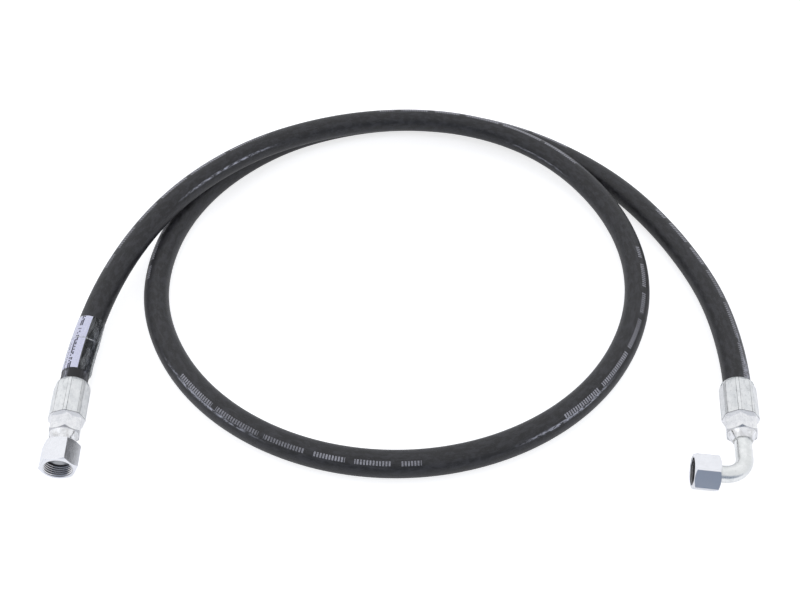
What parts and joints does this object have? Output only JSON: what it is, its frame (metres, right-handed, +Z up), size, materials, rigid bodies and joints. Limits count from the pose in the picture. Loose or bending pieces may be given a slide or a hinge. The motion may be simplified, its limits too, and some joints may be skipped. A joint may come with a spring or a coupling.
{
  "type": "hydraulic hose assembly",
  "caption": "Wire-braided hydraulic hose laid in a loop, with a straight swivel fitting on one end and a swivel elbow on the other.",
  "frame": {"origin": "on the floor, under the middle of the box round the two end fittings", "axes": "+X to the right, from the straight fitting to the elbow; +Y away from the fittings, into the loop of hose; +Z up"},
  "size_m": [0.5554, 0.4601, 0.0467],
  "materials": {
    "hose_rubber": "satin, cloth-wrapped",
    "braid_wire": "brassed steel wire, braided",
    "tube_rubber": "smooth",
    "label_paper": "printed film, matte",
    "label_clear": "clear, glossy",
    "zinc_ferrule": "bright zinc plating, crimped",
    "zinc_stem": "bright zinc plating, turned",
    "zinc_tube": "satin zinc plating, bent tube",
    "zinc_nut": "bright zinc plating",
    "spring_wire": "hard drawn wire",
    "braze": "braze metal under plating"
  },
  "bodies": {
    "hose_assembly": {"hose_cover": "hose_rubber", "outer_wire_braid": "braid_wire", "friction_layer": "tube_rubber", "inner_wire_braid": "braid_wire", "inner_tube": "tube_rubber", "hose_label": "label_paper", "label_film": "label_clear", "left_ferrule": "zinc_ferrule", "left_stem": "zinc_stem", "thrust_wire": "spring_wire", "right_ferrule": "zinc_ferrule", "right_stem": "zinc_stem", "elbow_tube": "zinc_tube", "elbow_nose": "zinc_stem", "stem_braze_ring": "braze", "nose_braze_ring": "braze"},
    "left_nut": {"left_swivel_nut": "zinc_nut"},
    "right_nut": {"right_swivel_nut": "zinc_nut"}
  },
  "joints": [
    {"name": "left_nut_spin", "type": "hinge", "parent": "hose_assembly", "child": "left_nut", "pos_m": [-0.25679, -0.03076, 0.01409], "axis": [-0.0785, 0.9969, 0], "continuous": true},
    {"name": "right_nut_spin", "type": "hinge", "parent": "hose_assembly", "child": "right_nut", "pos_m": [0.21241, -0.03144, 0.0127], "axis": [-0.9886, 0.1477, -0.0304], "continuous": true}
  ]
}
